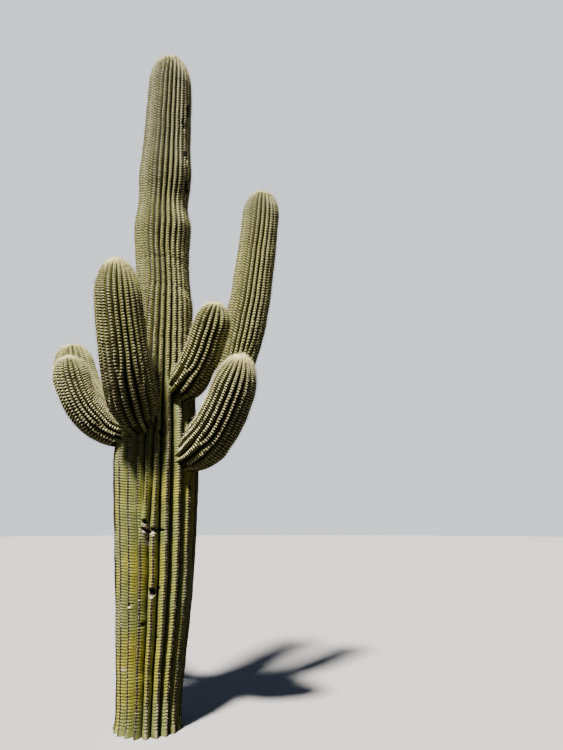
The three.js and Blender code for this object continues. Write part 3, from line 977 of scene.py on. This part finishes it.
def make_arm(name, arm, skin):
    """Works out one arm as a limb, from the same few sizes as its solids."""
    middle = station_value(np.array([arm["join"][2]]), 2)[0]
    corners = []
    for bearing, reach, height in (arm["join"], arm["corner"], arm["tip"]):
        angle = math.radians(bearing)
        corners.append(np.array((middle + reach * math.cos(angle), reach * math.sin(angle), height)))
    join, corner, tip = corners
    bend = (join, join + (corner - join) * arm["hold"], tip + (corner - tip) * arm["hold"], tip)
    t = np.linspace(0, 1, ARM_POINTS)[:, None]
    line = sum(math.comb(3, i) * (1 - t) ** (3 - i) * t**i * bend[i] for i in range(4))
    length = np.linalg.norm(np.diff(line, axis=0), axis=1).sum()
    thicken, thickest = (share * length for share in arm["swelling"])
    middle_third = (length / 3, 2 * length / 3)
    crown = (length - ARM_CROWN * arm["dome"], length)
    fresh = arm["fresh"]

    def radius(places):
        swelling = arm["neck"] + (arm["radius"] - arm["neck"]) * smooth_step(places, thicken, thickest)
        return swelling - (arm["radius"] - arm["top"]) * smooth_step(places, thickest, length - arm["dome"])

    return Limb(
        name,
        [f"{name}_elbow", f"{name}_upright"],
        "arm_skin",
        line,
        arm["dome"],
        arm["groups"],
        skin,
        skin=arm["skin"],
        forks=tuple(share * length for share in ARM_FORKS),
        roundness=2.0,
        radius=radius,
        step=lambda s: 1.0,
        spacing=lambda s: arm["rows"],
        age=lambda s: 0.3 * (1 - smooth_step(s, *middle_third)),
        dry=lambda s: 0 * s,
        pale=lambda s: fresh + (0.85 - fresh) * smooth_step(s, *crown),
        dark=lambda s: 0.45 * (1 - fresh) * (1 - smooth_step(s, *crown)),
        pale_felt=lambda s: 0.88 + 0.1 * smooth_step(s, *middle_third),
        dark_felt=lambda s: 0.05 * (1 - smooth_step(s, *middle_third)),
        vigour=lambda s: 1.0 + 0.15 * smooth_step(s, *crown),
    )


def make_limbs(scene):
    """Works out the column and every arm."""
    skin = scene.saguaro_skin
    arms = [make_arm(name, arm, skin) for name, arm in ARMS.items()]
    return [make_column(scene.saguaro_spines, skin), *arms]


def point_object(name, marks):
    """Makes an object of loose points, each with its place and size, for the trees to read."""
    mesh = bpy.data.meshes.new(name)
    mesh.from_pydata([place for place, _ in marks], [], [])
    for column, label in enumerate(MARK_ATTRIBUTES):
        store(mesh, label, [mark[column] for mark in marks])
    obj = bpy.data.objects.new(name, mesh)
    bpy.context.scene.collection.objects.link(obj)
    return obj


def column_point(bearing, height, under):
    """The point at a bearing and a height that lies some way under the column's outline."""
    angle = math.radians(bearing)
    middle = station_value(np.array([height]), 2)[0]
    reach = station_value(np.array([height]), 1)[0] - under
    return middle + reach * math.cos(angle), reach * math.sin(angle), height


def wound_marks():
    """The points of every wound, where no spines grow, a few millimetres apart along it."""
    marks = []
    for _, start, end, radius, _ in WOUNDS:
        for share in np.linspace(0, 1, BARE_POINTS):
            bearing, height = (start[i] + (end[i] - start[i]) * share for i in (0, 1))
            marks.append((column_point(bearing, height, BARE_DEPTH), radius + BARE_MARGIN))
    return marks


def neck_marks(arms):
    """The place and size of each arm's neck on the column."""
    marks = []
    for limb in arms:
        place = np.array([limb.start])
        marks.append((tuple(limb.at(place, limb.line)[0]), float(limb.rules["radius"](place)[0])))
    return marks


def press_wounds(mesh):
    """Presses the old wounds into the column's skin, and marks each point with its share of each kind."""
    points = points_of(mesh)
    heights = points[:, 2]
    outward = points[:, :2] - np.stack([station_value(heights, 2), 0 * heights], axis=1)
    reach = np.linalg.norm(outward, axis=1)
    bearings = np.degrees(np.arctan2(outward[:, 1], outward[:, 0]))
    girth = math.pi * station_value(heights, 1) / 180

    # A wound's edge wavers as the tissue round it does.
    waver = np.ones(len(points))
    for share, by_degree, by_metre in WAVERS:
        waver += share * np.sin(bearings * by_degree + heights * by_metre)
    shares = {kind: np.zeros(len(points), dtype=np.float32) for kind in ("hole", "scar", "callus")}
    push = np.zeros(len(points))
    for kind, start, end, radius, depth in WOUNDS:
        across = (bearings - start[0]) * girth
        above = heights - start[1]
        way_across = (end[0] - start[0]) * girth
        way_above = end[1] - start[1]
        run = np.maximum(way_across**2 + way_above**2, 1e-8)
        share = np.clip((across * way_across + above * way_above) / run, 0, 1)
        away = np.hypot(across - share * way_across, above - share * way_above) * waver / radius
        inside = 1 - smooth_step(away, *WOUND_EDGE)
        shares[kind] = np.maximum(shares[kind], inside).astype(np.float32)
        push += inside * (depth if kind == "callus" else -depth)
    points[:, :2] += outward * (push / np.maximum(reach, 0.01))[:, None]
    mesh.vertices.foreach_set("co", points.ravel())
    for kind, share in shares.items():
        store(mesh, kind, share)


def grow(name, axis, tree, values):
    """Runs a node tree on an axis and keeps what it grows as a plain piece, held inside the CAD box."""
    seed = bpy.data.objects.new(f"{name}_axis", axis)
    bpy.context.scene.collection.objects.link(seed)
    modifier = seed.modifiers.new("Grow", "NODES")
    modifier.node_group = tree
    for label, value in values.items():
        modifier[tree.interface.items_tree[label].identifier] = value
    depsgraph = bpy.context.evaluated_depsgraph_get()
    grown = seed.evaluated_get(depsgraph)
    mesh = bpy.data.meshes.new_from_object(grown, preserve_all_data_layers=True, depsgraph=depsgraph)
    mesh.name = name
    bpy.data.objects.remove(seed)
    if not mesh.polygons:
        raise RuntimeError(f"{name} has grown nothing")
    for label in (*LIMB_ATTRIBUTES, *LIMB_RULES, *WORK_ATTRIBUTES):
        if label in mesh.attributes and label not in SHOWN_ATTRIBUTES:
            mesh.attributes.remove(mesh.attributes[label])
    held = np.clip(points_of(mesh), cad_low, cad_high).astype(np.float32)
    mesh.vertices.foreach_set("co", held.ravel())
    piece = bpy.data.objects.new(name, mesh)
    bpy.context.scene.collection.objects.link(piece)
    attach(piece, "root")
    return piece


def surface_values(limb, sizes):
    """The inputs that every tree on a limb shares."""
    return {
        "Groups": limb.groups,
        **dict(zip(FORK_INPUTS, limb.rules["forks"])),
        "Roundness": limb.rules["roundness"],
        "Pleat": sizes.pleat,
        "Sway": sizes.sway,
        "Swell": sizes.swell,
    }


# The gap colour is painted shade in the creases, reach is the relief where it begins, and the last number is
# the relief where the painted shade of the grooves ends.
def epidermis(name, green, shade, gap, bloom, reach, groove_shade, sizes):
    """Living cactus epidermis under a coat of wax: matt and dusty, creased between the cushions, and with
    painted shade deep between the ribs, in the creases, in the pinches of the drought years and inside the
    holes. Old crests have dried dark brown cork, and wounds have grey scars and pale callus."""
    material = bpy.data.materials.new(name)
    material.use_nodes = True
    tree = material.node_tree
    tree.nodes.clear()
    read = {}
    for label in ("relief", "row", "age", "dry", "hole", "scar", "callus"):
        read[label] = add_node(tree, "ShaderNodeAttribute", attribute_name=label).outputs["Fac"]
    place = add_node(tree, "ShaderNodeTexCoord").outputs["Object"]
    rise = add_node(tree, "ShaderNodeSeparateXYZ", place).outputs["Z"]
    patches, mottle, fine = (
        add_node(tree, NOISE, {"Vector": place, "Scale": scale, "Detail": detail})
        for scale, detail in SKIN_NOISES
    )

    # Each row of cushions sits on a swelling, and the crease after it runs down from the crest on both sides.
    # The bump raises the swelling, and the crease is painted dark as the shade of the crease and of the
    # spines above it.
    body = (*green, 1)
    hang = add_node(tree, MATH, read["relief"], -0.6, read["row"], operation="MULTIPLY_ADD")
    loose = add_node(tree, MATH, mottle, 0.7, hang, operation="MULTIPLY_ADD")
    turns = add_node(tree, MATH, loose, 0.25, operation="ADD")
    waves = add_node(tree, MATH, turns, math.tau, operation="MULTIPLY")
    swelling = add_node(tree, MATH, waves, operation="COSINE")

    # Each layer of colour covers the ones before it by a share. The share is made of one to four fields, and
    # each field goes smoothly from none, at its first value, to its most, at its second.
    relief = read["relief"]
    flank = (relief, reach, reach + 0.4, 1.0)
    crest = (relief, 0.87, 0.95, 1.0)
    old = (read["age"], 0.0, 1.0, 1.0)
    young = (read["age"], 0.8, 0.2, 1.0)
    for layer, *fields in (
        (shade, (patches, 0.38, 0.58, 0.85)),
        (shade, (mottle, 0.5, 0.75, 0.5)),
        (sizes.tinge, (patches, 0.40, 0.28, 0.15)),
        (sizes.bloom, young, (relief, 0.2, 0.75, bloom)),
        (sizes.flush, (rise, 2.3, 3.0, 0.45), (rise, 5.0, 4.0, 1.0), (relief, 0.1, 0.5, 1.0)),
        # Painted shade: the creases after each row, on the flanks and crests, take the colour of their shade
        # and of the spines' shadows; on old skin only in patches.
        (gap, old, (swelling, 0.2, -0.85, 0.36), flank, (mottle, 0.35, 0.65, 1.0)),
        (gap, young, (swelling, 0.65, -0.35, 0.97), flank),
        # Painted shade: the grooves between the ribs are coloured near-black as their shade, more widely on
        # young skin.
        (sizes.groove_shade, (relief, groove_shade, 0.02, 0.98)),
        (sizes.groove_shade, young, (relief, groove_shade + 0.2, 0.25, 0.9)),
        # Painted shade in the grooves of the pinches left by the drought years.
        (sizes.groove_shade, (read["dry"], 0.0, 1.0, 1.0), (relief, 0.95, 0.3, 0.85)),
        (sizes.cork, crest, old),
        (sizes.pale_cork, crest, old, (patches, 0.52, 0.62, 0.7)),
        (sizes.scar, (read["scar"], 0.0, 1.0, 1.0)),
        (sizes.cork, (read["scar"], 0.0, 1.0, 1.0), (fine, 0.52, 0.6, 1.0)),
        (sizes.callus, (read["callus"], 0.0, 1.0, 1.0)),
        # Painted shade inside the holes.
        (sizes.hole, (read["hole"], 0.0, 1.0, 1.0)),
    ):
        share = 1.0
        for field, none, full, most in fields:
            levels = {0: field, 1: none, 2: full, 4: most}
            part = add_node(tree, MAP_RANGE, levels, interpolation_type="SMOOTHSTEP")
            share = add_node(tree, MATH, part, share, operation="MULTIPLY")
        mix = add_node(tree, "ShaderNodeMix", {0: share, 6: body, 7: (*layer, 1)}, data_type="RGBA")
        body = mix.outputs[2]
    crossing = add_node(tree, MATH, swelling, relief, operation="MULTIPLY")
    height = add_node(tree, MATH, crossing, 0.5, fine, operation="MULTIPLY_ADD")
    bump = add_node(tree, "ShaderNodeBump", {"Height": height, "Distance": 0.004, "Strength": 0.8})
    rough = add_node(tree, MAP_RANGE, {0: mottle, 3: 0.5, 4: 0.72})
    shader = add_node(
        tree,
        "ShaderNodeBsdfPrincipled",
        {"Base Color": body, "Roughness": rough, "Normal": bump, "IOR": 1.42},
    )
    add_node(tree, "ShaderNodeOutputMaterial", shader)
    return material


def plain_material(name, base, roughness):
    """A material of one colour, for joined spines and cushions, whose colours are dealt out by piece."""
    material = bpy.data.materials.new(name)
    material.use_nodes = True
    shader = material.node_tree.nodes["Principled BSDF"]
    shader.inputs["Base Color"].default_value = (*base, 1)
    shader.inputs["Roughness"].default_value = roughness
    return material


def seen_and_shed(tree, seen, shed):
    """A colour that the camera sees, and another that falls on the plant."""
    is_seen = add_node(tree, "ShaderNodeLightPath").outputs["Is Camera Ray"]
    both = add_node(tree, "ShaderNodeMix", {0: is_seen, 6: (*shed, 1), 7: (*seen, 1)}, data_type="RGBA")
    return both.outputs[2]


class SAGUARO_OT_skin(bpy.types.Operator):
    """Grow the ribbed skin of the column and of every arm"""

    bl_idname = "saguaro.skin"
    bl_label = "Skin"

    def execute(self, context):
        sizes = context.scene.saguaro_skin
        surface = surface_tree(rib_pattern_tree())
        tree = skin_tree(surface)
        # Each skin's green, patches, painted crease shade, bloom, the relief where the painted crease shade
        # begins, and the relief where the painted groove shade ends.
        pale = (sizes.pale_green, sizes.pale_shade, sizes.pale_crease_shade, 0.6, 0.10, 0.48)
        deep = (sizes.deep_green, sizes.deep_shade, sizes.deep_crease_shade, 0.35, 0.30, 0.60)
        skins = {
            "pale": epidermis("Cactus epidermis, pale green", *pale, sizes),
            "deep": epidermis("Cactus epidermis, deep green", *deep, sizes),
        }
        for limb in make_limbs(context.scene):
            is_column = limb.name == "column"
            values = {
                **surface_values(limb, sizes),
                "Lines": limb.groups * RIBS_PER_GROUP * sizes.lines,
                "Material": skins[limb.rules["skin"]],
            }
            piece = grow(f"{limb.name}_skin", limb.axis_mesh(limb.rings()), tree, values)
            if is_column:
                press_wounds(piece.data)
            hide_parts(*limb.nodes)
        return {"FINISHED"}


class SAGUARO_OT_spines(bpy.types.Operator):
    """Grow the felt cushions and the spines along every rib"""

    bl_idname = "saguaro.spines"
    bl_label = "Spines"

    def execute(self, context):
        skin = context.scene.saguaro_skin
        sizes = context.scene.saguaro_spines
        limbs = make_limbs(context.scene)
        areoles = areole_tree(bpy.data.node_groups["Limb surface"])
        bare = point_object("bare_points", wound_marks() + neck_marks(limbs[1:]))
        nowhere = point_object("no_bare_points", [NOWHERE])

        # Felt is matt wool: cream while it is young, and nearly black on the old ribs.
        felts = {
            "pale": plain_material("Areole felt, fresh", sizes.fresh_felt, 0.9),
            "grey": plain_material("Areole felt, weathered", sizes.grey_felt, 0.95),
            "dark": plain_material("Areole felt, old", sizes.old_felt, 0.95),
        }

        # Spines are horn: young ones catch the sun with a dull shine, and weathered ones are dry and grey.
        horns = {
            "pale": plain_material("Cactus spine, young horn", sizes.pale, 0.4),
            "grey": plain_material("Cactus spine, weathered horn", sizes.grey, 0.6),
            "dark": plain_material("Cactus spine, old horn", sizes.dark, 0.6),
        }

        # Each kind of piece has its tree, the rule for its share of old ones, its materials and its sizes.
        spine_sizes = {
            "Count": sizes.count,
            "Radial": sizes.radial,
            "Central": sizes.central,
            "Thickness": sizes.thickness,
        }
        kinds = {
            "cushions": (cushion_tree(areoles), "dark_felt", felts, {"Width": sizes.cushion}),
            "spines": (spine_tree(areoles), "dark", horns, spine_sizes),
        }
        for number, limb in enumerate(limbs):
            is_column = limb.name == "column"
            sections = np.array_split(limb.rows, COLUMN_SECTIONS) if is_column else [limb.rows]
            for section, places in enumerate(sections):
                shared = {
                    **surface_values(limb, skin),
                    "Bare": bare if is_column else nowhere,
                    "Seed": SEED + LIMB_SEEDS * number + section,
                }
                label = f"{limb.name}_{section + 1}" if is_column else limb.name
                for kind, (tree, dark_rule, materials, own) in kinds.items():
                    for tone, (word, material) in enumerate(materials.items()):
                        if word == "dark" and limb.rules[dark_rule](places[0]) < FEWEST_DARK:
                            continue
                        values = {**shared, **own, "Tone": tone, "Material": material}
                        grow(f"{label}_{word}_{kind}", limb.axis_mesh(places), tree, values)
        bpy.data.objects.remove(bare)
        bpy.data.objects.remove(nowhere)
        return {"FINISHED"}


class SAGUARO_OT_stage(bpy.types.Operator):
    """Set up the floor, the studio light and the camera"""

    bl_idname = "saguaro.stage"
    bl_label = "Stage"

    def execute(self, context):
        sizes = context.scene.saguaro_stage
        scene = context.scene
        bpy.ops.mesh.primitive_circle_add(
            vertices=96, radius=FLOOR_RADIUS, fill_type="NGON", location=(0, 0, 0)
        )
        floor = context.object
        floor.name = "studio_floor"
        paper = plain_material("Studio paper, pale", sizes.floor, 0.9)  # matt, without a highlight
        floor.data.materials.append(paper)

        # Floor and backdrop look brighter than the light that they shed, so the ribs keep their shade.
        tree = paper.node_tree
        shown = seen_and_shed(tree, sizes.floor, sizes.bounce)
        tree.links.new(shown, tree.nodes["Principled BSDF"].inputs["Base Color"])
        world = bpy.data.worlds.new("Studio")
        world.use_nodes = True
        tree = world.node_tree
        shown = seen_and_shed(tree, sizes.backdrop, sizes.fill)
        tree.links.new(shown, tree.nodes["Background"].inputs["Color"])
        scene.world = world

        data = bpy.data.lights.new("Key", "SUN")
        data.angle = sizes.softness
        data.energy = sizes.key
        data.color = KEY_COLOUR
        key = bpy.data.objects.new("Key", data)
        flat = math.cos(sizes.key_height)
        way = Vector(
            (
                flat * math.cos(sizes.key_bearing),
                flat * math.sin(sizes.key_bearing),
                math.sin(sizes.key_height),
            )
        )
        key.location = way * KEY_DISTANCE
        key.rotation_euler = way.to_track_quat("Z", "Y").to_euler()
        scene.collection.objects.link(key)

        data = bpy.data.cameras.new("Camera")
        data.sensor_fit = "VERTICAL"
        data.sensor_height = PICTURE_HEIGHT
        data.lens = sizes.lens
        camera = bpy.data.objects.new("Camera", data)
        camera.location = sizes.camera_place
        camera.rotation_euler = (math.pi / 2 + sizes.camera_tilt, 0, 0)
        scene.collection.objects.link(camera)
        scene.camera = camera

        # Sun brings the ribs out against near-black grooves, as on the real plant.
        scene.view_settings.look = "AgX - Medium High Contrast"
        return {"FINISHED"}


class SAGUARO_PT_panel(bpy.types.Panel):
    """Lists the steps that make the saguaro"""

    bl_label = "Saguaro"
    bl_space_type = "VIEW_3D"
    bl_region_type = "UI"
    bl_category = "Saguaro"

    def draw(self, context):
        for step in (SAGUARO_OT_skin, SAGUARO_OT_spines, SAGUARO_OT_stage):
            self.layout.operator(step.bl_idname)
        for group in ("saguaro_skin", "saguaro_spines", "saguaro_stage"):
            box = self.layout.box()
            for name in getattr(context.scene, group).bl_rna.properties.keys():
                if name not in ("rna_type", "name"):
                    box.prop(getattr(context.scene, group), name)


GROUPS = {"saguaro_skin": SaguaroSkin, "saguaro_spines": SaguaroSpines, "saguaro_stage": SaguaroStage}
CLASSES = (*GROUPS.values(), SAGUARO_OT_skin, SAGUARO_OT_spines, SAGUARO_OT_stage, SAGUARO_PT_panel)


def register():
    for cls in CLASSES:
        bpy.utils.register_class(cls)
    for name, group in GROUPS.items():
        setattr(bpy.types.Scene, name, bpy.props.PointerProperty(type=group))


def unregister():
    for name in GROUPS:
        delattr(bpy.types.Scene, name)
    for cls in reversed(CLASSES):
        bpy.utils.unregister_class(cls)


def main():
    register()
    bpy.ops.saguaro.skin()
    bpy.ops.saguaro.spines()
    bpy.ops.saguaro.stage()


if __name__ == "__main__":
    main()
